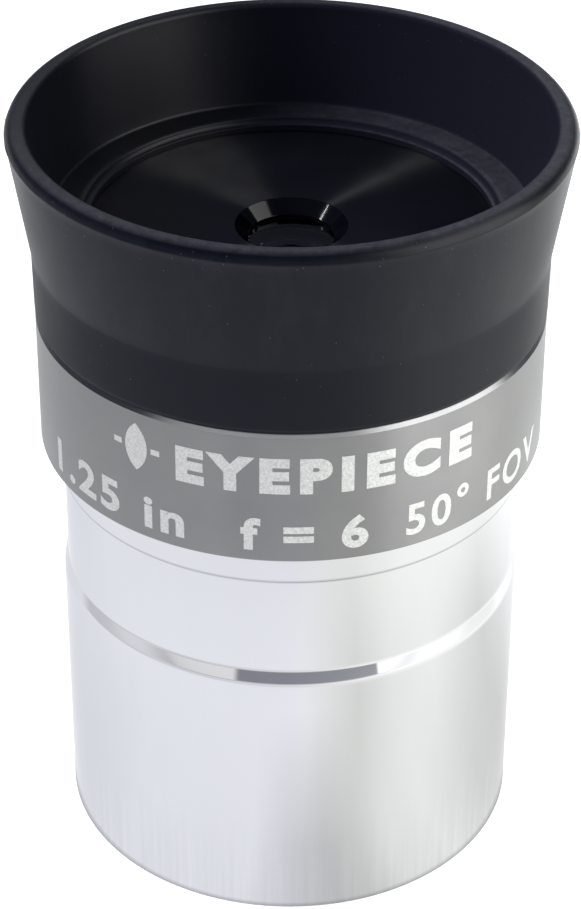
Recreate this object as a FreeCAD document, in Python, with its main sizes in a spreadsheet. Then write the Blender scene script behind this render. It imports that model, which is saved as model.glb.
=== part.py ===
"""A 1.25 inch telescope eyepiece of 6 mm focal length, standing on its barrel.

The origin is the centre of the barrel's foot and +Z is the optical axis, towards the eye. Every
piece but the two slotted rings is turned, so each one is a half section revolved about the axis.
"""
import FreeCAD, Part
import os
import re
import Sketcher

SIZES = {
    # chromed barrel, in the telescope's focuser
    "barrel_r": 15.87,
    "undercut_r": 15.59,
    "bevel_low": 19.43,
    "bevel_high": 20.55,
    "undercut_top": 27.86,
    "barrel_bore": 13.7,
    "spigot_r": 14.2,
    "spigot_bore": 12.9,
    "spigot_bore_low": 28.0,
    "spigot_cone": 0.8,
    "spigot_top": 34.86,
    "barrel_shoulder": 30.36,
    "edge_break": 0.15,
    "undercut_break": 0.075,
    # filter thread in the barrel's foot
    "filter_minor_r": 13.93,
    "filter_major_r": 14.25,
    "filter_pitch": 0.6,
    "filter_start": 0.7,
    "filter_depth": 5.0,
    "groove_half_share": 0.3333,
    # thread between barrel and housing
    "body_pitch": 0.75,
    "thread_depth": 0.3,
    "female_r": 14.25,
    # housing
    "housing_low": 30.4,
    "housing_low_r": 15.4,
    "housing_step": 38.9,
    "housing_top_r": 15.6,
    "housing_top": 45.5,
    "housing_web": 36.5,
    "recess_r": 3.73,
    "recess_low_r": 2.87,
    "recess_low": 44.66,
    "lens_seat": 44.36,
    "cell_bore": 6.55,
    # name band
    "band_r": 17.06,
    "band_top": 39.95,
    "band_gap": 0.02,
    "band_chamfer": 0.25,
    "band_low_chamfer": 0.125,
    # eyecup
    "cup_bore": 15.65,
    "cup_low": 39.99,
    "cup_r": 17.08,
    "cup_tuck": 0.35,
    "cup_tuck_in": 0.175,
    "fold": 44.6,
    "fold_r": 17.14,
    "rim_r": 18.45,
    "rim_edge": 52.8,
    "cup_top": 53.45,
    "rim_crown": 17.72,
    "rim_round_r": 0.72,
    "rim_flat": 17.4,
    "mouth_r": 17.05,
    "mouth_edge": 53.1,
    "mouth_round_r": 0.36,
    "wall_low_r": 15.95,
    "wall_low": 46.95,
    "ledge_fillet": 0.55,
    "ledge_fillet_r": 0.556,
    "ledge_top": 46.4,
    "ledge_under": 45.55,
    "ledge_r": 13.35,
    "ledge_round": 0.4,
    "ledge_round_r": 0.404,
    # lens cell
    "cell_r": 6.5,
    "cell_top": 44.34,
    "cell_flange_r": 8.2,
    "cell_flange_top": 36.48,
    "cell_flange_low": 35.5,
    "cell_tube_r": 5.5,
    "cell_low": 32.3,
    "lens_bore": 3.62,
    "ring_bore": 4.1,
    "ring_seat": 35.9,
    # lenses
    "lens_r": 3.6,
    "lens_gap": 0.02,
    "outer_curve": 40.0,
    "cement_curve": 6.5,
    "inner_curve": 8.0,
    "flint_edge": 2.2,
    "crown_edge": 1.056,
    "crown_flat_r": 3.3,
    "spacer_long": 1.88,
    "spacer_bore": 3.34,
    # slotted rings
    "ring_r": 4.05,
    "retainer_bore": 3.1,
    "retainer_thick": 1.2,
    "stop_top": 33.2,
    "stop_thick": 0.7,
    "stop_bore": 2.55,
    "stop_bevel": 0.45,
    "slot_reach": 4.9,
    "slot_wide": 0.8,
    "slot_deep": 0.35,
}

# ring grooves cut for each thread
FILTER_TURNS = 7
HOUSING_TURNS = 7
CELL_TURNS = 8

doc = FreeCAD.newDocument("eyepiece")
sheet = doc.addObject("Spreadsheet::Sheet", "Sizes")
for row, (name, value) in enumerate(SIZES.items(), start=1):
    sheet.set(f"A{row}", str(value))
    sheet.setAlias(f"A{row}", name)
doc.recompute()


def cells(formula):
    """The same formula with each size's name pointing at its cell; sqrt stays a function."""
    return re.sub(r"\b(?!sqrt\b)[a-z][a-z_]+", r"Sizes.\g<0>", formula)


def number(formula):
    return float(sheet.evalExpression(cells(formula)))


def origin_plane(body, role):
    return next(plane for plane in body.Origin.OriginFeatures if plane.Role == role)


def new_sketch(body, name, role="XZ_Plane"):
    sketch = body.newObject("Sketcher::SketchObject", name)
    sketch.AttachmentSupport = (origin_plane(body, role), [""])
    sketch.MapMode = "FlatFace"
    return sketch


def fix_point(sketch, edge, end, across, up):
    """Bind one end of an edge to the sheet, by its distances from the sketch's origin."""
    for kind, formula in (("DistanceX", across), ("DistanceY", up)):
        here = number(formula)
        if abs(here) < 1e-9 and formula == "0":
            axis = -2 if kind == "DistanceX" else -1
            sketch.addConstraint(Sketcher.Constraint("PointOnObject", edge, end, axis))
            continue
        at = sketch.addConstraint(Sketcher.Constraint(kind, -1, 1, edge, end, here))
        sketch.setExpression(f"Constraints[{at}]", cells(formula))


def arc_between(start, end, radius):
    """The short arc from start to end: a positive radius bulges to the right of the way there."""
    chord = end - start
    across = FreeCAD.Vector(chord.y, -chord.x, 0).normalize()
    half = chord.Length / 2
    drop = (radius * radius - half * half) ** 0.5
    side = 1 if radius > 0 else -1
    centre = start + chord * 0.5 - across * side * drop
    top = centre + (start + chord * 0.5 - centre).normalize() * abs(radius)
    return Part.Arc(start, top, end)


def draw_profile(sketch, outline):
    """A closed outline of (across, up) corners; a third entry is the radius of the arc that
    leads to that corner, with a minus sign in front where it bulges to the left."""
    places = [FreeCAD.Vector(number(corner[0]), number(corner[1]), 0) for corner in outline]
    for index, corner in enumerate(outline):
        start = places[index - 1]
        end = places[index]
        if len(corner) == 2:
            sketch.addGeometry(Part.LineSegment(start, end))
            first, last = 1, 2
        else:
            arc = arc_between(start, end, number(corner[2]))
            edge = sketch.addGeometry(arc)
            starts_first = sketch.getPoint(edge, 1).isEqual(start, 1e-6)
            first, last = (1, 2) if starts_first else (2, 1)
            size = sketch.addConstraint(
                Sketcher.Constraint("Radius", edge, abs(number(corner[2])))
            )
            sketch.setExpression(f"Constraints[{size}]", cells(corner[2].lstrip("-")))
        fix_point(sketch, index, last, corner[0], corner[1])
        if index:
            sketch.addConstraint(
                Sketcher.Constraint("Coincident", index - 1, previous_last, index, first)
            )
        else:
            opening = first
        previous_last = last
    sketch.addConstraint(
        Sketcher.Constraint("Coincident", len(outline) - 1, previous_last, 0, opening)
    )


def turned(name, outline):
    """A body made by revolving a half section about the optical axis."""
    body = doc.addObject("PartDesign::Body", name)
    body.Label = name
    sketch = new_sketch(body, f"{name}_section")
    draw_profile(sketch, outline)
    revolution = body.newObject("PartDesign::Revolution", f"{name}_turned")
    revolution.Profile = sketch
    revolution.ReferenceAxis = (sketch, ["V_Axis"])
    revolution.Angle = 360
    body.Tip = revolution
    doc.recompute()
    return body


def must_shrink(body, volume):
    doc.recompute()
    if body.Shape.Volume >= volume - 1e-6:
        raise RuntimeError(f"a cut on {body.Label} removed nothing")


def cut_thread(body, wall, crest, first, pitch, turns):
    """Ring grooves of V section, one per turn of thread, from a wall towards its crest radius."""
    before = body.Shape.Volume
    sketch = new_sketch(body, f"{body.Label}_thread_section")
    half = f"{pitch} * groove_half_share"
    outline = [
        (wall, f"{first} - {half}"),
        (crest, first),
        (wall, f"{first} + {half}"),
    ]
    draw_profile(sketch, outline)
    groove = body.newObject("PartDesign::Groove", f"{body.Label}_groove")
    groove.Profile = sketch
    groove.ReferenceAxis = (sketch, ["V_Axis"])
    groove.Angle = 360
    body.Tip = groove
    must_shrink(body, before)
    thread = body.newObject("PartDesign::LinearPattern", f"{body.Label}_thread")
    thread.Originals = [groove]
    thread.Direction = (sketch, ["V_Axis"])
    thread.Occurrences = turns
    thread.setExpression("Length", cells(f"{pitch} * {turns - 1}"))
    body.Tip = thread
    must_shrink(body, before)


def cut_spanner_slot(body, low):
    """One straight slot across a ring's underside, for a two-pronged spanner."""
    before = body.Shape.Volume
    sketch = new_sketch(body, f"{body.Label}_slot_plan", "XY_Plane")
    sketch.setExpression("AttachmentOffset.Base.z", cells(low))
    draw_profile(sketch, [
        ("slot_reach", "slot_wide / 2"),
        ("-slot_reach", "slot_wide / 2"),
        ("-slot_reach", "-slot_wide / 2"),
        ("slot_reach", "-slot_wide / 2"),
    ])
    slot = body.newObject("PartDesign::Pocket", f"{body.Label}_slot")
    slot.Profile = sketch
    slot.Reversed = True
    slot.setExpression("Length", cells("slot_deep"))
    body.Tip = slot
    must_shrink(body, before)


def make_barrel():
    barrel = turned("barrel", [
        ("filter_minor_r + edge_break", "0"),
        ("barrel_r - edge_break", "0"),
        ("barrel_r", "edge_break"),
        ("barrel_r", "bevel_low"),
        ("undercut_r", "bevel_high"),
        ("undercut_r", "undercut_top"),
        ("barrel_r - undercut_break", "undercut_top"),
        ("barrel_r", "undercut_top + undercut_break"),
        ("barrel_r", "barrel_shoulder"),
        ("spigot_r", "barrel_shoulder"),
        ("spigot_r", "spigot_top - edge_break"),
        ("spigot_r - edge_break", "spigot_top"),
        ("spigot_bore", "spigot_top"),
        ("spigot_bore", "spigot_bore_low"),
        ("barrel_bore", "spigot_bore_low - spigot_cone"),
        ("barrel_bore", "filter_depth"),
        ("filter_minor_r", "filter_depth"),
        ("filter_minor_r", "edge_break"),
    ])
    cut_thread(
        barrel, "filter_minor_r", "filter_major_r", "filter_start", "filter_pitch", FILTER_TURNS
    )
    return barrel


def make_upper_housing():
    housing = turned("upper_housing", [
        ("female_r", "housing_low"),
        ("housing_low_r", "housing_low"),
        ("housing_low_r", "housing_step"),
        ("housing_top_r", "housing_step"),
        ("housing_top_r", "housing_top - edge_break"),
        ("housing_top_r - edge_break", "housing_top"),
        ("recess_r", "housing_top"),
        ("recess_low_r", "recess_low"),
        ("recess_low_r", "lens_seat"),
        ("cell_bore", "lens_seat"),
        ("cell_bore", "housing_web"),
        ("female_r", "housing_web"),
    ])
    cut_thread(
        housing,
        "female_r",
        "female_r + thread_depth",
        "housing_low + body_pitch",
        "body_pitch",
        HOUSING_TURNS,
    )
    return housing


def make_name_band():
    return turned("name_band", [
        ("housing_low_r + band_gap", "housing_low"),
        ("band_r - band_low_chamfer", "housing_low"),
        ("band_r", "housing_low + band_low_chamfer"),
        ("band_r", "band_top - band_chamfer"),
        ("band_r - band_chamfer", "band_top"),
        ("housing_top_r + band_gap", "band_top"),
        ("housing_top_r + band_gap", "housing_step - band_gap"),
        ("housing_low_r + band_gap", "housing_step - band_gap"),
    ])


def make_eyecup():
    """One rubber moulding: sleeve, fold line, flared skirt, rounded rim and the ledge inside it."""
    return turned("eyecup", [
        ("cup_bore", "cup_low"),
        ("cup_r - cup_tuck_in", "cup_low"),
        ("cup_r", "cup_low + cup_tuck"),
        ("fold_r", "fold"),
        ("rim_r", "rim_edge"),
        ("rim_crown", "cup_top", "rim_round_r"),
        ("rim_flat", "cup_top"),
        ("mouth_r", "mouth_edge", "mouth_round_r"),
        ("wall_low_r", "wall_low"),
        ("wall_low_r - ledge_fillet", "ledge_top", "-ledge_fillet_r"),
        ("ledge_r + ledge_round", "ledge_top"),
        ("ledge_r", "ledge_top - ledge_round", "ledge_round_r"),
        ("ledge_r", "ledge_under"),
        ("cup_bore", "ledge_under"),
    ])


def make_lens_cell():
    cell = turned("lens_cell", [
        ("lens_bore", "cell_top"),
        ("lens_bore", "ring_seat"),
        ("ring_bore", "ring_seat"),
        ("ring_bore", "cell_low"),
        ("cell_tube_r - edge_break", "cell_low"),
        ("cell_tube_r", "cell_low + edge_break"),
        ("cell_tube_r", "cell_flange_low"),
        ("cell_flange_r", "cell_flange_low"),
        ("cell_flange_r", "cell_flange_top"),
        ("cell_r", "cell_flange_top"),
        ("cell_r", "cell_top"),
    ])
    cut_thread(
        cell,
        "cell_r",
        "cell_r - thread_depth",
        "cell_flange_top + body_pitch",
        "body_pitch",
        CELL_TURNS,
    )
    return cell


def sag(curve, radius):
    return f"({curve} - sqrt({curve} * {curve} - {radius} * {radius}))"


def make_flint(name, outer, way):
    """The concave lens of a doublet: outer is its outer edge's height, way the sign towards it."""
    back = "-" if way == "+" else "+"
    inner = f"{outer} {back} flint_edge"
    bulge = "" if way == "+" else "-"
    return turned(name, [
        ("0", f"{outer} {back} {sag('outer_curve', 'lens_r')}"),
        ("lens_r", outer, f"{bulge}outer_curve"),
        ("lens_r", inner),
        ("0", f"{inner} {way} {sag('cement_curve', 'lens_r')}", f"{bulge}cement_curve"),
    ])


def make_crown(name, edge, way):
    """The convex lens of a doublet: edge is its cemented edge's height, way the sign towards it."""
    back = "-" if way == "+" else "+"
    inner = f"{edge} {back} crown_edge"
    bulge = "-" if way == "+" else ""
    return turned(name, [
        ("0", f"{edge} {way} {sag('cement_curve', 'lens_r')}"),
        ("lens_r", edge, f"{bulge}cement_curve"),
        ("lens_r", inner),
        ("crown_flat_r", inner),
        ("0", f"{inner} {back} {sag('inner_curve', 'crown_flat_r')}", f"{bulge}inner_curve"),
    ])


def make_ring(name, low, high, bore_high, bore_low, outer):
    return turned(name, [
        (bore_low, low),
        (outer, low),
        (outer, high),
        (bore_high, high),
    ])


EYE_FLINT = "(lens_seat - lens_gap)"
EYE_CROWN = f"({EYE_FLINT} - flint_edge - lens_gap)"
SPACER_TOP = f"({EYE_CROWN} - crown_edge - lens_gap)"
SPACER_LOW = f"({SPACER_TOP} - spacer_long)"
FIELD_CROWN = f"({SPACER_LOW} - lens_gap - crown_edge)"
FIELD_FLINT = f"({FIELD_CROWN} - lens_gap - flint_edge)"
RETAINER_TOP = f"({FIELD_FLINT} - lens_gap)"
RETAINER_LOW = f"({RETAINER_TOP} - retainer_thick)"
STOP_LOW = "(stop_top - stop_thick)"

bodies = [
    make_barrel(),
    make_upper_housing(),
    make_name_band(),
    make_eyecup(),
    make_lens_cell(),
    make_flint("eye_lens_flint", EYE_FLINT, "+"),
    make_crown("eye_lens_crown", EYE_CROWN, "+"),
    make_ring(
        "lens_spacer", SPACER_LOW, SPACER_TOP, "spacer_bore", "spacer_bore", "lens_r - lens_gap"
    ),
    make_crown("field_lens_crown", FIELD_CROWN, "-"),
    make_flint("field_lens_flint", FIELD_FLINT, "-"),
]
retainer = make_ring(
    "lens_retainer", RETAINER_LOW, RETAINER_TOP, "retainer_bore", "retainer_bore", "ring_r"
)
cut_spanner_slot(retainer, RETAINER_LOW)
stop = make_ring(
    "field_stop", STOP_LOW, "stop_top", "stop_bore", "stop_bore + stop_bevel", "ring_r"
)
cut_spanner_slot(stop, STOP_LOW)
bodies += [retainer, stop]

doc.recompute()
for item in doc.Objects:
    if "Invalid" in item.State or "Error" in item.State:
        raise RuntimeError(f"{item.Label} failed: {item.State}")
for body in bodies:
    if body.Shape.isNull() or not body.Shape.isValid() or len(body.Shape.Solids) != 1:
        raise RuntimeError(f"{body.Label} is not one valid solid")

os.makedirs("parts", exist_ok=True)
for body in bodies:
    body.Shape.exportStep(f"parts/{body.Label}.step")
    box = body.Shape.BoundBox
    span = f"z {box.ZMin:.3f} to {box.ZMax:.3f}, r {box.XMax:.3f}"
    print(f"{body.Label}: {span}, {body.Shape.Volume:.1f} mm3")
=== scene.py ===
"""Looks of a 1.25 inch telescope eyepiece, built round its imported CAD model.

Outlines are (radius, height) sections in millimetres, turned about the optical axis, which is the
frame's Z. Azimuths are in degrees from the front (-Y) towards the right (+X). Everything that has
to do with materials, lights and the camera is in metres.
"""

import math

import bmesh
import bpy
from mathutils import Matrix, Vector, noise


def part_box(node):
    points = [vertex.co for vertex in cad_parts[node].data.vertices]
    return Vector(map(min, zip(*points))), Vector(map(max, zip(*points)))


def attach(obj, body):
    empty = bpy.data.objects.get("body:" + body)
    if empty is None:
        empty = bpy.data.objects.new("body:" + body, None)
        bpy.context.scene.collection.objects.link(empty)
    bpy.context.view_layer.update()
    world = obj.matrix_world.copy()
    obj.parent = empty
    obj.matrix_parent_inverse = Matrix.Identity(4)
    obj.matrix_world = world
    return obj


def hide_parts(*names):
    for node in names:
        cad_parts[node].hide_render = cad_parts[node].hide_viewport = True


MM = 0.001
TURN = 2 * math.pi

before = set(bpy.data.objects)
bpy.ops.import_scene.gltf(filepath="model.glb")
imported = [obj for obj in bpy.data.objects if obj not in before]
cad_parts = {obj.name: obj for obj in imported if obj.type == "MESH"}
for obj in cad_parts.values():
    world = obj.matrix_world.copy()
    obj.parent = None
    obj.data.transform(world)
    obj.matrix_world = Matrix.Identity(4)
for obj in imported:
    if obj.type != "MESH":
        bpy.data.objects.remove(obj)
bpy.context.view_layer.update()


# ---------------------------------------------------------------- sizes, in millimetres

def measure(node):
    """A CAD node's outer radius, foot and top."""
    low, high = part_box(node)
    return high.x / MM, low.z / MM, high.z / MM


BARREL_R, _, SPIGOT_TOP = measure("barrel")
BAND_R, BAND_LOW, BAND_TOP = measure("name_band")
HOUSING_R, HOUSING_LOW, HOUSING_TOP = measure("upper_housing")
RIM_R, CUP_LOW, CUP_TOP = measure("eyecup")

# the undercut in the barrel: a bevel leads up to it, and a square step ends it
UNDERCUT_R = 15.59
BEVEL_LOW, BEVEL_HIGH, STEP_Z = 19.43, 20.55, 27.86
SHOULDER_Z = 30.36
BARREL_BORE, SPIGOT_BORE = 13.7, 12.9
CONE_LOW, CONE_HIGH = 27.2, 28.0

# the threads' walls, before the grooves are cut
THREAD_DEPTH = 0.3
FILTER_R, FILTER_PITCH, FILTER_DEPTH = 13.93, 0.6, 5.0
SPIGOT_R, HOUSING_BORE, BODY_PITCH = 14.2, 14.25, 0.75

# the name band and the housing under it
BAND_BORE, BAND_TOP_BORE, BAND_STEP_Z = 15.42, 15.62, 38.88
BAND_CHAMFER = 0.25
HOUSING_LOW_R, HOUSING_STEP_Z = 15.4, 38.9
WEB_Z, CELL_BORE = 36.5, 6.55
RECESS_R, RECESS_LOW_R, RECESS_LOW, LENS_SEAT = 3.73, 2.87, 44.66, 44.36

# the rubber eyecup: sleeve, fold line, rim, and the ledge that laps over the housing's top
CUP_R, CUP_BORE = 17.08, 15.65
FOLD_R, FOLD_Z = 17.14, 44.6
RIM_Z = 52.8
CUP_FLOOR_R, LEDGE_Z, LEDGE_R, CUP_CEILING = 15.85, 46.4, 13.35, 45.55

EDGE = 0.05  # the usual rounding of an edge inside


# ---------------------------------------------------------------- sections and turned pieces

ARC_CHORDS = 7
SUPPORT = 0.03  # how near an edge its supporting loop lies
SEGMENTS = 256
RUBBER_SEGMENTS = 360


def fillet_points(before, here, after, radius):
    """The arc that rounds one corner, from the run before it to the run after it."""
    back = (before - here).normalized()
    on = (after - here).normalized()
    half = back.angle(on) / 2
    centre = here + (back + on).normalized() * (radius / math.sin(half))
    start = here + back * (radius / math.tan(half)) - centre
    end = here + on * (radius / math.tan(half)) - centre
    sweep = math.copysign(math.pi - 2 * half, start.x * end.y - start.y * end.x)
    points = []
    for step in range(ARC_CHORDS + 1):
        angle = sweep * step / ARC_CHORDS
        c, s = math.cos(angle), math.sin(angle)
        points.append(centre + Vector((start.x * c - start.y * s, start.x * s + start.y * c)))
    return points


def bow(start, end, radius, chords=12):
    """Points of the arc that leads from start to end, both left out; a positive radius bulges
    to the right of the way there."""
    a, b = Vector(start), Vector(end)
    chord = b - a
    across = Vector((chord.y, -chord.x)).normalized()
    half = chord.length / 2
    side = 1 if radius > 0 else -1
    centre = (a + b) / 2 - across * side * math.sqrt(radius * radius - half * half)
    first = math.atan2(a.y - centre.y, a.x - centre.x)
    turn = math.atan2(b.y - centre.y, b.x - centre.x) - first
    turn = (turn + math.pi) % TURN - math.pi
    found = []
    for step in range(1, chords):
        angle = first + turn * step / chords
        found.append((centre.x + abs(radius) * math.cos(angle),
                      centre.y + abs(radius) * math.sin(angle)))
    return found


def between(start, end, step):
    """Points along a straight run: every step, or only one near each end to hold its edges."""
    length = (end - start).length
    if step:
        count = max(1, math.ceil(length / step))
        return [start.lerp(end, i / count) for i in range(1, count)]
    if length < 5 * SUPPORT:
        return []
    return [start.lerp(end, SUPPORT / length), end.lerp(start, SUPPORT / length)]


def section(corners):
    """The points of a closed outline of (radius, height, fillet, step) corners, whose last two
    numbers may be left out. The step, if there is one, divides the run that leads to that corner."""
    runs = []
    for index, corner in enumerate(corners):
        here = Vector(corner[:2])
        fillet = corner[2] if len(corner) > 2 else 0
        if fillet:
            before = Vector(corners[index - 1][:2])
            after = Vector(corners[(index + 1) % len(corners)][:2])
            runs.append(fillet_points(before, here, after, fillet))
        else:
            runs.append([here])
    points = []
    for index, run in enumerate(runs):
        step = corners[index][3] if len(corners[index]) > 3 else 0
        points += between(runs[index - 1][-1], run[0], step) + run
    return points


def lathe(name, points, segments, relief=None, paint=None):
    """A closed solid turned from a section. Relief moves a point of (radius, height, angle), and
    paint gives the material index of a face from its mean radius and height."""
    mesh = bmesh.new()
    rings = []
    for point in points:
        ring = []
        for index in range(segments):
            angle = TURN * index / segments
            r, z = relief(point.x, point.y, angle) if relief else point
            ring.append(mesh.verts.new((r * math.cos(angle) * MM, r * math.sin(angle) * MM, z * MM)))
        rings.append(ring)
    for here in range(len(points)):
        there = (here + 1) % len(points)
        middle = (points[here] + points[there]) / 2
        slot = paint(middle.x, middle.y) if paint else 0
        for index in range(segments):
            on = (index + 1) % segments
            face = mesh.faces.new((rings[here][index], rings[here][on],
                                   rings[there][on], rings[there][index]))
            face.smooth = True
            face.material_index = slot
    bmesh.ops.recalc_face_normals(mesh, faces=mesh.faces)
    return add_piece(name, mesh)


def add_piece(name, mesh):
    """Turns finished mesh code into an object of the scene."""
    data = bpy.data.meshes.new(name)
    mesh.to_mesh(data)
    mesh.free()
    piece = bpy.data.objects.new(name, data)
    bpy.context.scene.collection.objects.link(piece)
    return piece


def fit_piece(piece, body, slot, finishes, *nodes):
    """Rides a piece on its body, gives it its materials and hides the CAD nodes it stands for."""
    for finish in finishes:
        piece.data.materials.append(finish)
    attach(piece, body)
    if nodes:
        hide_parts(*nodes)
    return piece


def helix(wall, depth, pitch, low, high, fade):
    """Relief that cuts a V thread into a wall of that radius; a negative depth cuts inwards. The
    thread runs from low to high and fades in and out over a short length."""
    half_width = 0.36  # of a groove, as a share of the pitch

    def relief(r, z, angle):
        if abs(r - wall) > 1e-4 or not low < z < high:
            return r, z
        phase = (z / pitch - angle / TURN) % 1.0
        groove = max(0.0, 1 - abs(phase - 0.5) / half_width)
        ends = min(1.0, (z - low) / fade, (high - z) / fade)
        return r + depth * groove * ends, z
    return relief


# ---------------------------------------------------------------- materials

class Finish:
    """A node material on the object's own coordinates, in metres."""

    def __init__(self, name, **sockets):
        self.material = bpy.data.materials.new(name)
        self.material.use_nodes = True
        self.nodes = self.material.node_tree.nodes
        self.links = self.material.node_tree.links
        self.shader = self.nodes["Principled BSDF"]
        self.place = self.nodes.new("ShaderNodeTexCoord").outputs["Object"]
        for socket, value in sockets.items():
            self.shader.inputs[socket.replace("_", " ")].default_value = value

    def node(self, kind, inputs=None, **settings):
        """A new node with its settings, its inputs linked or set."""
        made = self.nodes.new("ShaderNode" + kind)
        for key, value in settings.items():
            setattr(made, key, value)
        for key, value in (inputs or {}).items():
            self.feed(made.inputs[key], value)
        return made

    def feed(self, socket, value):
        if isinstance(value, bpy.types.NodeSocket):
            self.links.new(value, socket)
        else:
            socket.default_value = value

    def math(self, operation, a, b=0.0):
        return self.node("Math", {0: a, 1: b}, operation=operation).outputs[0]

    def axes(self, vector=None):
        """The X, Y and Z of a vector, or of the object's coordinates."""
        return self.node("SeparateXYZ", {"Vector": vector or self.place}).outputs[:]

    def radius(self):
        """The distance from the optical axis."""
        x, y, _ = self.axes()
        squares = self.math("ADD", self.math("MULTIPLY", x, x), self.math("MULTIPLY", y, y))
        return self.math("SQRT", squares)

    def turn(self, scale):
        """The angle about the optical axis in radians, times a scale."""
        x, y, _ = self.axes()
        return self.math("MULTIPLY", self.math("ARCTAN2", y, x), scale)

    def azimuth(self):
        """The azimuth in degrees, from -180 to 180."""
        x, y, _ = self.axes()
        return self.math("DEGREES", self.math("ARCTAN2", x, self.math("MULTIPLY", y, -1.0)))

    def join(self, x=0.0, y=0.0, z=0.0):
        return self.node("CombineXYZ", {0: x, 1: y, 2: z}).outputs[0]

    def scaled(self, x, y=None, z=None):
        """The object's coordinates times so many per metre: one number for all axes, or three."""
        made = self.node("Mapping", {"Vector": self.place, "Scale": (x, y or x, z or x)})
        return made.outputs["Vector"]

    def noise(self, vector, detail, roughness=0.55):
        made = self.node("TexNoise", {"Vector": vector, "Scale": 1.0, "Detail": detail,
                                      "Roughness": roughness})
        return made.outputs["Fac"]

    def specks(self, scale, channel, above, size):
        """Round specks, one in each cell whose random channel is above a level; scale is in cells
        per metre and size in cells."""
        cells = self.node("TexVoronoi", {"Vector": self.scaled(scale)}, feature="F1").outputs
        chance = self.node("SeparateColor", {"Color": cells["Color"]}).outputs[channel]
        return self.math("MULTIPLY", self.math("GREATER_THAN", chance, above),
                         self.math("LESS_THAN", cells["Distance"], size))

    def ramp(self, value, *stops):
        """A colour for each value, from stops of (value, grey or colour)."""
        made = self.node("ValToRGB", {"Fac": value})
        marks = made.color_ramp.elements
        while len(marks) < len(stops):
            marks.new(1.0)
        for mark, (position, colour) in zip(marks, stops):
            mark.position = position
            if not hasattr(colour, "__len__"):
                colour = (colour, colour, colour)
            mark.color = (*colour, 1.0)
        return made.outputs["Color"]

    def spread(self, value, low, high, out_low, out_high):
        """Carries the range from low to high over to another, and stops at its ends."""
        made = self.node("MapRange", {"Value": value, "From Min": low, "From Max": high,
                                      "To Min": out_low, "To Max": out_high})
        return made.outputs["Result"]

    def mix(self, factor, a, b):
        made = self.node("Mix", data_type="RGBA")
        self.feed(made.inputs["Factor"], factor)
        for socket, value in (("A", a), ("B", b)):
            target = [s for s in made.inputs if s.name == socket and s.type == "RGBA"][0]
            self.feed(target, value if isinstance(value, bpy.types.NodeSocket) else (*value, 1.0))
        return [s for s in made.outputs if s.type == "RGBA"][0]

    def around(self):
        """The direction round the optical axis, which turned and moulded rings shine across."""
        return self.node("Tangent", direction_type="RADIAL", axis="Z").outputs[0]

    def bump(self, height, distance, strength, under=None):
        inputs = {"Height": height, "Distance": distance, "Strength": strength}
        if under is not None:
            inputs["Normal"] = under
        return self.node("Bump", inputs).outputs["Normal"]

    def use(self, **sockets):
        """Feeds the shader's sockets and returns the material."""
        for socket, value in sockets.items():
            target = self.shader.inputs[socket.replace("_", " ")]
            if isinstance(value, tuple):
                value = (*value, 1.0)
            self.feed(target, value)
        return self.material


ACROSS_RINGS = 0.25  # a quarter turn of the shine, so that it runs across the rings


def rubber_dust_and_painted_light(f, up):
    """How much dust lies on the rubber, on what faces up, with painted light mixed in: most of it on
    the right, where it stands in for the light falling on the ledge, and on the front lip.
    """
    x, y, z = f.axes()
    flat = f.spread(up, 0.75, 0.98, 0.0, 1.0)
    lip = f.math("MULTIPLY", f.spread(z, 0.0525, 0.0530, 0.0, 0.85),
                 f.spread(y, -0.014, 0.004, 1.0, 0.0))
    # painted light: the right side gets the most, standing in for the light that falls on the ledge
    # there
    side = f.math("MAXIMUM", f.spread(x, -0.004, 0.010, 0.04, 1.0), lip)
    settled = f.spread(f.noise(f.scaled(1500), 5, 0.7), 0.35, 0.7, 0.45, 1.0)
    return f.math("MULTIPLY", f.math("MULTIPLY", flat, side), settled)


def rubber_finish():
    """Moulded black rubber: a fine grain, patches of bloom on the skirt, which is smoother than the
    sleeve, a lighter inside that is painted light, dust mixed with painted light on the right ledge,
    and lint caught here and there."""
    f = Finish("moulded_rubber")
    height = f.axes()[2]
    sleeve_to_skirt = (0.0440, 0.0452)
    clouds = f.noise(f.scaled(140), 4)
    skin_tone = f.ramp(clouds, (0.3, (0.0034, 0.0054, 0.0125)), (0.7, (0.0058, 0.0080, 0.0160)))
    patches = f.spread(f.noise(f.scaled(520, 520, 170), 6, 0.7), 0.46, 0.72, 0.0, 0.5)
    bloom = f.math("MULTIPLY", patches, f.spread(height, *sleeve_to_skirt, 0.0, 1.0))
    bloomed = f.mix(bloom, skin_tone, (0.0150, 0.0175, 0.0280))

    # a wall of the inside faces the axis, so its normal runs against its place
    normal = f.node("NewGeometry").outputs["Normal"]
    outward = f.node("VectorMath", {0: normal, 1: f.place}, operation="DOT_PRODUCT").outputs["Value"]
    up = f.axes(normal)[2]
    radial = f.math("SUBTRACT", outward, f.math("MULTIPLY", up, height))
    # painted light: walls that face the axis get a lighter tone, standing in for light inside the cup
    tone = f.mix(f.spread(radial, -0.010, -0.004, 1.0, 0.0), bloomed, (0.0230, 0.0240, 0.0405))

    # dust mixed with painted light: paler on what faces up, most on the right ledge and the front lip
    dusty_and_lit = f.mix(rubber_dust_and_painted_light(f, up), tone, (0.110, 0.113, 0.135))
    freckled = f.mix(f.specks(2300, 1, 0.93, 0.12), dusty_and_lit, (0.070, 0.072, 0.080))
    lint = f.specks(1100, 0, f.spread(height, 0.0510, 0.0522, 0.987, 0.93), 0.11)
    colour = f.mix(lint, freckled, (0.35, 0.35, 0.34))
    rough = f.math("ADD", f.spread(clouds, 0.3, 0.7, 0.36, 0.43),
                   f.spread(height, *sleeve_to_skirt, 0.09, 0.0))
    soft = f.bump(f.noise(f.scaled(9000), 2), 0.000010, 0.3)
    skin = f.bump(f.noise(f.scaled(2600), 3), 0.00003, 0.15, soft)
    return f.use(Base_Color=colour, Roughness=rough, Normal=skin, Specular_IOR_Level=0.19,
                 Anisotropic=0.7, Anisotropic_Rotation=ACROSS_RINGS, Tangent=f.around())


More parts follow.
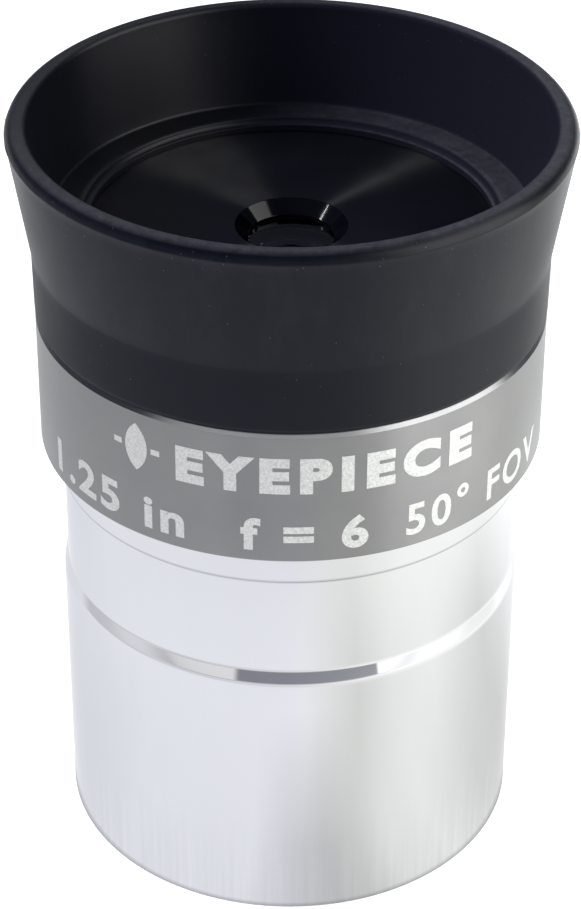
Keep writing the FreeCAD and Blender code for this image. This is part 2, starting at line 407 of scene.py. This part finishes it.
def chrome_finish():
    """Bright chrome plate over turned brass, with wiping marks, a painted shade line in the corner of
    the undercut's step, and lines drawn up from the foot, with a painted dark reflection along them
    near it."""
    f = Finish("chrome_plate", Metallic=1.0)
    height = f.axes()[2]
    wipe = f.noise(f.scaled(90, 90, 30), 5, 0.6)
    plate = f.ramp(wipe, (0.35, (0.640, 0.643, 0.664)), (0.7, (0.668, 0.671, 0.688)))
    lines = f.noise(f.join(f.turn(27.0), f.math("MULTIPLY", height, 60.0)), 3)
    # painted reflection: along the drawn lines the plate is darker near the foot, fading out 8 mm up
    foot = f.spread(height, 0.0, 0.008, 1.0, 0.0)
    painted_streak_shade = f.math("MULTIPLY", f.spread(lines, 0.35, 0.7, 0.0, 1.0), f.math("MULTIPLY", foot, 0.55))
    streak_shaded = f.mix(painted_streak_shade, plate, (0.53, 0.535, 0.55))
    # painted shade: a dark line along the inner corner of the undercut's step
    step = f.math("ABSOLUTE", f.math("SUBTRACT", height, STEP_Z * MM))
    tone = f.mix(f.spread(step, 0.00006, 0.00026, 0.85, 0.0), streak_shaded, (0.33, 0.33, 0.35))
    rough = f.spread(wipe, 0.35, 0.75, 0.035, 0.075)
    drawn = f.math("MULTIPLY", lines, f.math("MULTIPLY", foot, foot))
    return f.use(Base_Color=tone, Roughness=rough, Normal=f.bump(drawn, 0.00010, 0.4),
                 Specular_Tint=(0.90, 0.90, 0.91))


def gunmetal_finish():
    """Dark satin plating over fine turned rings."""
    f = Finish("gunmetal", Metallic=1.0)
    rings = f.noise(f.join(f.turn(2.0), z=f.math("MULTIPLY", f.axes()[2], 16000.0)), 4)
    clouds = f.noise(f.scaled(220), 4)
    tone = f.ramp(clouds, (0.3, (0.242, 0.244, 0.249)), (0.7, (0.270, 0.271, 0.270)))
    rough = f.spread(clouds, 0.3, 0.7, 0.28, 0.34)
    return f.use(Base_Color=tone, Roughness=rough, Normal=f.bump(rings, 0.000003, 0.3),
                 Anisotropic=0.8, Anisotropic_Rotation=ACROSS_RINGS, Tangent=f.around())


def anodised_finish(name, tone, roughness, specular, anisotropic):
    """Black metal cut on a lathe, so it catches light across its turned rings."""
    f = Finish(name)
    rings = f.noise(f.join(f.math("MULTIPLY", f.radius(), 22000.0), z=f.turn(0.5)), 3)
    clouds = f.noise(f.scaled(260), 4)
    deep = tuple(0.7 * share for share in tone)
    colour = f.ramp(clouds, (0.3, deep), (0.7, tone))
    rough = f.spread(clouds, 0.3, 0.7, roughness - 0.03, roughness + 0.03)
    return f.use(Base_Color=colour, Roughness=rough, Normal=f.bump(rings, 0.000004, 0.35),
                 Specular_IOR_Level=specular, Anisotropic=anisotropic,
                 Anisotropic_Rotation=ACROSS_RINGS, Tangent=f.around())


def polished_black_finish():
    """The bright-turned black countersink round the eye lens."""
    f = Finish("polished_black")
    clouds = f.noise(f.scaled(700), 3)
    tone = f.ramp(clouds, (0.3, (0.004, 0.004, 0.008)), (0.7, (0.006, 0.006, 0.011)))
    rough = f.spread(clouds, 0.3, 0.7, 0.06, 0.10)
    return f.use(Base_Color=tone, Roughness=rough, Specular_IOR_Level=0.17)


def mark_finish():
    """Pale marking with the frosted grain that engraving leaves."""
    f = Finish("engraved_mark")
    frost = f.noise(f.scaled(7000), 3)
    tone = f.ramp(frost, (0.35, (0.55, 0.56, 0.55)), (0.65, (0.74, 0.75, 0.73)))
    return f.use(Base_Color=tone, Roughness=f.spread(frost, 0.3, 0.7, 0.42, 0.58), Metallic=1.0,
                 Normal=f.bump(frost, 0.00001, 0.3))


def glass_finish():
    """Coated optical glass."""
    f = Finish("coated_glass", Transmission_Weight=1.0, IOR=1.52, Roughness=0.0)
    film = f.noise(f.scaled(300), 2)
    tone = f.ramp(film, (0.3, (0.80, 0.83, 0.86)), (0.7, (0.84, 0.82, 0.87)))
    return f.use(Base_Color=tone, Specular_IOR_Level=0.03)


RUBBER = rubber_finish()
CHROME = chrome_finish()
GUNMETAL = gunmetal_finish()
TURNED = anodised_finish("turned_black", (0.0080, 0.0085, 0.0140), 0.33, 0.60, 1.0)
BLACKENED = anodised_finish("blackened_inside", (0.004, 0.004, 0.005), 0.62, 0.15, 0.3)
POLISHED = polished_black_finish()
MARK = mark_finish()
GLASS = glass_finish()


# ---------------------------------------------------------------- the pieces

def make_barrel():
    filter_thread = helix(FILTER_R, THREAD_DEPTH, FILTER_PITCH, 0.35, FILTER_DEPTH - 0.1, 0.5)
    spigot_thread = helix(SPIGOT_R, -THREAD_DEPTH, BODY_PITCH, 30.9, 34.5, 0.4)

    def relief(r, z, angle):
        r, z = filter_thread(r, z, angle)
        return spigot_thread(r, z, angle)

    points = section([
        (FILTER_R, 0, 0.15),
        (BARREL_R, 0, 0.16),
        (BARREL_R, BEVEL_LOW, 1.8),
        (UNDERCUT_R, BEVEL_HIGH, 1.2),
        (UNDERCUT_R, STEP_Z, 0.04),
        (BARREL_R, STEP_Z, 0.11),
        (BARREL_R, SHOULDER_Z, 0.12),
        (SPIGOT_R, SHOULDER_Z, 0.1),
        (SPIGOT_R, SPIGOT_TOP, 0.15, 0.06),
        (SPIGOT_BORE, SPIGOT_TOP, EDGE),
        (SPIGOT_BORE, CONE_HIGH, EDGE),
        (BARREL_BORE, CONE_LOW, EDGE),
        (BARREL_BORE, FILTER_DEPTH, EDGE),
        (FILTER_R, FILTER_DEPTH, 0.02),
        (FILTER_R, 0.2, 0, 0.05),
    ])
    piece = lathe("barrel_turned", points, SEGMENTS, relief)
    return fit_piece(piece, "barrel", "chrome_plate", [CHROME], "barrel")


def make_band():
    points = section([
        (BAND_BORE, BAND_LOW, 0.03),
        (BAND_R, BAND_LOW, 0.12),
        (BAND_R, BAND_TOP - BAND_CHAMFER, 0.03),
        (BAND_R - BAND_CHAMFER, BAND_TOP, 0.03),
        (BAND_TOP_BORE, BAND_TOP, 0.03),
        (BAND_TOP_BORE, BAND_STEP_Z, 0.02),
        (BAND_BORE, BAND_STEP_Z, 0.02),
    ])
    piece = lathe("name_band_turned", points, SEGMENTS)
    return fit_piece(piece, "upper", "gunmetal", [GUNMETAL], "name_band")


def make_housing():
    """The housing is turned black outside, polished in the lens recess and dull inside."""
    finishes = [TURNED, POLISHED, BLACKENED]
    points = section([
        (HOUSING_BORE, HOUSING_LOW, EDGE),
        (HOUSING_LOW_R, HOUSING_LOW, EDGE),
        (HOUSING_LOW_R, HOUSING_STEP_Z, 0.02),
        (HOUSING_R, HOUSING_STEP_Z, EDGE),
        (HOUSING_R, HOUSING_TOP, 0.15),
        (RECESS_R, HOUSING_TOP, 0.06),
        (RECESS_LOW_R, RECESS_LOW, 0.04),
        (RECESS_LOW_R, LENS_SEAT, 0.03),
        (CELL_BORE, LENS_SEAT, 0.03),
        (CELL_BORE, WEB_Z, EDGE),
        (HOUSING_BORE, WEB_Z, 0.03),
        (HOUSING_BORE, 30.6, 0, 0.06),
    ])

    def paint(r, z):
        if z < LENS_SEAT + 0.1 and r < 14:
            return finishes.index(BLACKENED)
        return finishes.index(POLISHED if r < RECESS_R + 0.01 else TURNED)

    thread = helix(HOUSING_BORE, THREAD_DEPTH, BODY_PITCH, 30.7, 36.2, 0.4)
    piece = lathe("upper_housing_turned", points, SEGMENTS, thread, paint)
    return fit_piece(piece, "upper", "black_anodised", finishes, "upper_housing")


def make_eyecup():
    """One rubber moulding; its parting line stands up a little round the rim, unevenly."""
    rim = (RIM_R, RIM_Z)
    crown_out, crown_in = (17.72, CUP_TOP), (17.4, CUP_TOP)
    mouth = (17.05, 53.1)
    ledge, ledge_nose = (LEDGE_R + 0.4, LEDGE_Z), (LEDGE_R, LEDGE_Z - 0.4)
    points = section([
        (CUP_BORE, CUP_LOW, 0.1),
        (CUP_R - 0.175, CUP_LOW, 0.06),
        (CUP_R, CUP_LOW + 0.35, 0.3),
        (FOLD_R, FOLD_Z, 1.5, 0.6),
        (RIM_R - 0.02, RIM_Z - 0.1, 0, 0.6),
        rim,
        *bow(rim, crown_out, 0.72),
        crown_out,
        crown_in,
        *bow(crown_in, mouth, 0.36, 8),
        mouth,
        (CUP_FLOOR_R, LEDGE_Z, 0.24, 0.7),
        (*ledge, 0, 0.5),
        *bow(ledge, ledge_nose, -0.404, 8),
        ledge_nose,
        (LEDGE_R, CUP_CEILING, EDGE),
        (CUP_BORE, CUP_CEILING, EDGE),
    ])
    flash_z, flash_height = RIM_Z - 0.02, 0.07

    def relief(r, z, angle):
        near = math.exp(-((z - flash_z) / flash_height) ** 2) if r > 18 else 0
        ragged = noise.noise(Vector((math.cos(angle) * 14, math.sin(angle) * 14, 1.3)))
        return r + near * (0.035 + 0.04 * max(0.0, ragged)), z

    piece = lathe("eyecup_moulding", points, RUBBER_SEGMENTS, relief)
    return fit_piece(piece, "eyecup", "black_rubber", [RUBBER], "eyecup")


DULL_NODES = ("lens_cell", "lens_spacer", "lens_retainer", "field_stop")
LENSES = ("eye_lens_flint", "eye_lens_crown", "field_lens_crown", "field_lens_flint")


def dress_nodes():
    """The CAD nodes that stay in view keep their shape and take a finish."""
    for names, finish in ((DULL_NODES, BLACKENED), (LENSES, GLASS)):
        for name in names:
            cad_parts[name].material_slots[0].material = finish


# ---------------------------------------------------------------- marks

MARK_PROUD = 0.01
MARK_SUNK = 0.03
MARK_SLICE = 0.35  # width of the slices that bend round the band
CAPITAL = 0.729  # height of the font's capitals, as a share of its size


def mark(name, text, height, azimuth, level, weight, spacing, stretch=1.0):
    """Plain upright lettering wrapped on the band, as thin closed solids. Height is that of its
    capitals, and level the height of its feet."""
    curve = bpy.data.curves.new(name, "FONT")
    curve.body = text
    curve.align_x = "CENTER"
    curve.size = height / CAPITAL
    curve.space_character = spacing
    curve.offset = weight
    curve.resolution_u = 6
    curve.fill_mode = "FRONT"
    words = bpy.data.objects.new(name, curve)
    bpy.context.scene.collection.objects.link(words)
    bpy.context.view_layer.update()
    flat = bpy.data.meshes.new_from_object(words)
    bpy.data.objects.remove(words)
    bpy.data.curves.remove(curve)
    mesh = bmesh.new()
    mesh.from_mesh(flat)
    bpy.data.meshes.remove(flat)
    for face in mesh.faces:
        face.smooth = False
    bmesh.ops.remove_doubles(mesh, verts=mesh.verts, dist=0.0005)
    return wrap(name, mesh, azimuth, level, stretch)


def wrap(name, mesh, azimuth, level, stretch=1.0):
    """Bends flat faces round the band and thickens them into closed solids."""
    left = min(v.co.x for v in mesh.verts)
    right = max(v.co.x for v in mesh.verts)
    cuts = int((right - left) / MARK_SLICE)
    for index in range(1, cuts):
        everything = mesh.verts[:] + mesh.edges[:] + mesh.faces[:]
        at = left + (right - left) * index / cuts
        bmesh.ops.bisect_plane(mesh, geom=everything, plane_co=(at, 0, 0), plane_no=(1, 0, 0))
    made = bmesh.ops.extrude_face_region(mesh, geom=mesh.faces[:], use_keep_orig=True)
    lifted = {v for v in made["geom"] if isinstance(v, bmesh.types.BMVert)}
    for vert in mesh.verts:
        radius = BAND_R + (MARK_PROUD if vert in lifted else -MARK_SUNK)
        turn = math.radians(azimuth) + vert.co.x * stretch / BAND_R
        vert.co = Vector((radius * math.sin(turn), -radius * math.cos(turn),
                          level + vert.co.y)) * MM
    bmesh.ops.recalc_face_normals(mesh, faces=mesh.faces)
    piece = add_piece(name, mesh)
    return fit_piece(piece, "upper", "chrome_plate", [MARK])


def lens_mark(name, azimuth, level):
    """The textbook sign for a lens: a biconvex section with a dash of its axis on each side."""
    height, face_r = 3.5, 2.2
    dash_from, dash_to, half_line = 1.15, 1.8, 0.21
    mesh = bmesh.new()
    foot, top = (0, 0), (0, height)
    outline = [foot, *bow(foot, top, face_r), top, *bow(top, foot, face_r)]
    mesh.faces.new([mesh.verts.new((x, y, 0)) for x, y in outline])
    for left, right in ((-dash_to, -dash_from), (dash_from, dash_to)):
        low, high = height / 2 - half_line, height / 2 + half_line
        corners = ((left, low), (right, low), (right, high), (left, high))
        mesh.faces.new([mesh.verts.new((x, y, 0)) for x, y in corners])
    return wrap(name, mesh, azimuth, level)


make_barrel()
BAND = make_band()
HOUSING = make_housing()
make_eyecup()
dress_nodes()

mark("mark_kind", "EYEPIECE", 2.4, 8.5, 35.8, 0.2, 1.38, 1.13)
mark("mark_size", "1.25 in", 2.45, -44.5, 31.35, 0.11, 1.2, 1.15)
mark("mark_focal_length", "f = 6", 2.35, 3.3, 31.35, 0.12, 1.2, 1.1)
mark("mark_field", "50° FOV", 2.35, 48.0, 31.35, 0.07, 1.2)
lens_mark("mark_lens", -35.0, 35.4)


# ---------------------------------------------------------------- lights

AIM = Vector((0, 0, 0.035))
WHITE = (1, 1, 1)


def towards(azimuth, elevation):
    a, e = math.radians(azimuth), math.radians(elevation)
    return Vector((math.sin(a) * math.cos(e), -math.cos(a) * math.cos(e), math.sin(e)))


def softbox(name, azimuth, elevation, distance, width, height, radiance, colour=WHITE):
    """A rectangular light of a given radiance that faces the eyepiece."""
    light = bpy.data.lights.new(name, "AREA")
    light.shape = "RECTANGLE"
    light.size = width
    light.size_y = height
    light.energy = radiance * math.pi * width * height
    light.color = colour
    lamp = bpy.data.objects.new(name, light)
    way = towards(azimuth, elevation)
    lamp.location = AIM + way * distance
    lamp.rotation_euler = way.to_track_quat("Z", "Y").to_euler()
    lamp.visible_camera = False
    lamp.visible_transmission = False
    bpy.context.scene.collection.objects.link(lamp)
    return lamp


def light_only(light, name, receivers, state="INCLUDE"):
    """Keeps a light on some objects, or off them."""
    target = bpy.data.collections.new(name)
    for thing in receivers:
        target.objects.link(thing)
    for entry in target.collection_objects:
        entry.light_linking.link_state = state
    light.light_linking.receiver_collection = target


def make_lights():
    """The left lamp is snooted to the housing's top and its recess, the front panel to the name
    band, and the back panel is flagged off the housing and the lenses."""
    right = softbox("right_softbox", 72, 25, 0.8, 0.86, 0.85, 4.2, (1.0, 0.99, 0.965))
    right.visible_diffuse = False
    lamp = softbox("left_lamp", -91, 39, 0.7, 0.05, 0.11, 70.0)
    lamp.visible_diffuse = False
    fill = softbox("left_fill", -91, 39, 0.7, 0.30, 0.30, 8.0)
    fill.visible_glossy = False
    back = softbox("back_panel", 180, 38, 1.0, 1.4, 0.5, 0.75, (0.97, 0.985, 1.0))
    front = softbox("front_panel", 0, 57, 0.6, 1.2, 0.3, 1.6)
    light_only(lamp, "lamp_target", [HOUSING])
    light_only(front, "panel_target", [BAND])
    light_only(back, "panel_flag", [HOUSING] + [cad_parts[name] for name in LENSES], "EXCLUDE")


# ---------------------------------------------------------------- floor, cards and room

CARD_BASE = (0.02, 0.02, 0.02)
CARD_R = 0.10
CARD_FROM, CARD_TO = -160, 94
CARD_LOW, CARD_HIGH = 0.0005, 0.05

# painted reflection: the levels of light and shade that the metal mirrors in the floor, by azimuth at
# growing
# distances: close to the foot, a barrel's length out, past it, and far out; a painted soft shadow of
# the eyepiece lies to the front right
MIRRORED = (
    (0.022, ((-180, 0.9), (-80, 1.05), (-50, 1.13), (-12, 1.13), (0, 0.9), (12, 0.75), (22, 0.84),
             (33, 1.08), (50, 1.18), (76, 0.95), (100, 0.88), (140, 1.0), (180, 0.9))),
    (0.038, ((-180, 0.9), (-100, 1.11), (6, 1.2), (14, 1.1), (28, 0.92), (43, 1.14), (62, 1.23),
             (94, 0.97), (120, 1.25), (140, 1.25), (180, 0.9))),
    (0.057, ((-180, 0.85), (-98, 1.1), (27, 1.11), (50, 1.3), (96, 1.45), (125, 1.7), (180, 0.85))),
    (0.062, ((-180, 0.7), (0, 0.83), (45, 1.25), (80, 1.38), (120, 1.2), (180, 0.7))),
    (0.074, ((-180, 0.7), (-90, 0.78), (0, 1.12), (50, 1.45), (85, 1.25), (120, 0.95), (180, 0.7))),
    (0.090, ((-180, 1.0), (-110, 1.2), (-75, 1.0), (-45, 0.7), (0, 0.8), (30, 0.95), (50, 1.6),
             (120, 1.6), (180, 1.0))),
    (0.120, ((-180, 1.5), (-110, 0.6), (-45, 0.3), (0, 0.35), (90, 0.9), (140, 2.6), (180, 1.5))),
)


def hide_from(thing, *ways):
    for way in ways:
        setattr(thing, "visible_" + way, False)


def make_card():
    """Studio cards curved round the front, glowing grey, dark and white as a painted reflection: only
    the metal mirrors them.
    """
    mesh = bmesh.new()
    columns = 64
    rows = []
    for index in range(columns + 1):
        way = towards(CARD_FROM + (CARD_TO - CARD_FROM) * index / columns, 0) * CARD_R
        rows.append([mesh.verts.new((way.x, way.y, z)) for z in (CARD_LOW, CARD_HIGH)])
    for a, b in zip(rows, rows[1:]):
        mesh.faces.new((a[0], b[0], b[1], a[1]))
    card = add_piece("studio_cards", mesh)
    f = Finish("studio_cards", Roughness=0.9, Emission_Strength=1.0)
    z = f.axes()[2]
    # painted reflection: glowing levels by azimuth, a dark stretch between white ends, and other
    # levels higher up
    share = f.spread(f.azimuth(), -100, 100, 0.0, 1.0)
    across = f.ramp(share, (0.380, (1.02, 1.02, 1.01)), (0.392, (0.29, 0.30, 0.34)),
                    (0.50, (0.31, 0.32, 0.36)), (0.66, (0.38, 0.39, 0.43)),
                    (0.688, (0.40, 0.39, 0.42)), (0.692, (1.9, 1.9, 1.9)))
    low = f.spread(z, 0.0, 0.005, 0.9, 0.0)
    grounded = f.mix(f.math("MULTIPLY", low, low), across, (0.78, 0.78, 0.79))
    above = f.ramp(share, (0.0, 0.60), (0.3, 0.85), (0.5, 1.7), (0.8, 2.2), (0.97, 1.2))
    tone = f.mix(f.spread(z, 0.018, 0.024, 0.0, 1.0), grounded, above)
    card.data.materials.append(f.use(Base_Color=CARD_BASE, Emission_Color=tone))
    hide_from(card, "camera", "shadow", "diffuse")


def make_disc(name, inner, outer, level):
    """A flat ring of faces round the axis, or a whole disc where inner is nought."""
    rings, spokes = 24, 96
    mesh = bmesh.new()
    previous = None
    for ring in range(rings + 1):
        reach = inner + (outer - inner) * (ring / rings) ** 2
        if reach == 0:
            continue
        verts = [mesh.verts.new((reach * math.cos(TURN * i / spokes),
                                 reach * math.sin(TURN * i / spokes), level)) for i in range(spokes)]
        if previous is None and inner == 0:
            mesh.faces.new(verts)
        for i in range(spokes):
            if previous is not None:
                on = (i + 1) % spokes
                mesh.faces.new((previous[i], verts[i], verts[on], previous[on]))
        previous = verts
    return add_piece(name, mesh)


def make_mirrored_floor():
    """The floor as the glossy surfaces see it, a glowing painted reflection: neither the camera nor
    the shadows know it. Its painted light is a little blue on the left, a little green on the right,
    and dark, a painted shade, where the barrel stands."""
    card = make_disc("mirrored_floor", 0.01585, 1.6, 0.0001)
    f = Finish("mirrored_floor", Roughness=0.9, Emission_Strength=1.0)
    radius = f.radius()
    share = f.spread(f.azimuth(), -180, 180, 0.0, 1.0)
    tone, inner = None, 0
    for reach, stops in MIRRORED:
        ring = f.ramp(share, *[((at + 180) / 360, level) for at, level in stops])
        tone = ring if tone is None else f.mix(f.spread(radius, inner, reach, 0.0, 1.0), tone, ring)
        inner = reach
    # painted tint of the light: a little blue on the left, a little green on the right
    cast = f.ramp(share, (0.0, (0.97, 0.99, 1.03)), (0.5, (0.975, 0.985, 1.03)),
                  (0.56, (0.99, 1.0, 0.96)), (0.8, (0.99, 1.0, 0.97)), (1.0, (0.97, 0.99, 1.03)))
    tinted = f.node("VectorMath", {0: tone, 1: cast}, operation="MULTIPLY").outputs[0]
    # painted shade: darker close round the barrel's foot
    painted_contact_shade = f.mix(f.spread(radius, 0.0159, 0.0163, 0.55, 0.0), tinted, (0.25, 0.25, 0.26))
    card.data.materials.append(f.use(Base_Color=CARD_BASE, Emission_Color=painted_contact_shade))
    hide_from(card, "camera", "shadow", "diffuse", "transmission")


def make_floor():
    """Pale paper that glows, so that it looks white in the picture, except under the barrel."""
    floor = make_disc("floor", 0, 4.0, 0)
    f = Finish("pale_floor", Roughness=0.65, Emission_Strength=1.0)
    lit = f.math("GREATER_THAN", f.radius(), 0.0158)
    glow = f.mix(lit, (0, 0, 0), (0.95, 0.95, 0.95))
    paper = f.noise(f.scaled(60), 4)
    tone = f.ramp(paper, (0.3, (0.80, 0.80, 0.80)), (0.7, (0.83, 0.83, 0.83)))
    floor.data.materials.append(f.use(Base_Color=tone, Specular_IOR_Level=0.2, Emission_Color=glow))


def make_world():
    """A dim bluish room that looks white behind the floor."""
    world = bpy.data.worlds.new("studio")
    bpy.context.scene.world = world
    world.use_nodes = True
    nodes, links = world.node_tree.nodes, world.node_tree.links
    path = nodes.new("ShaderNodeLightPath")
    room = nodes.new("ShaderNodeMix")
    room.data_type = "RGBA"
    factor, room_colour, backdrop = room.inputs[0], room.inputs[6], room.inputs[7]
    room_colour.default_value = (0.0792, 0.0880, 0.1265, 1)
    backdrop.default_value = (*WHITE, 1)
    links.new(path.outputs["Is Camera Ray"], factor)
    links.new(room.outputs[2], nodes["Background"].inputs["Color"])


def make_camera():
    """Looks down at the eyepiece from the front, rolled by a hair."""
    look_down, roll = 33.322, 0.247
    camera = bpy.data.objects.new("camera", bpy.data.cameras.new("camera"))
    camera.data.lens = 114.12
    camera.data.sensor_width = 36
    camera.data.clip_start = 0.01
    tilt = Matrix.Rotation(math.radians(90 - look_down), 4, "X")
    camera.matrix_world = (Matrix.Translation((0, -0.166509, 0.136852)) @ tilt
                           @ Matrix.Rotation(math.radians(roll), 4, "Z"))
    bpy.context.scene.collection.objects.link(camera)
    bpy.context.scene.camera = camera


make_lights()
make_floor()
make_mirrored_floor()
make_card()
make_world()
make_camera()
bpy.context.scene.view_settings.view_transform = "Standard"
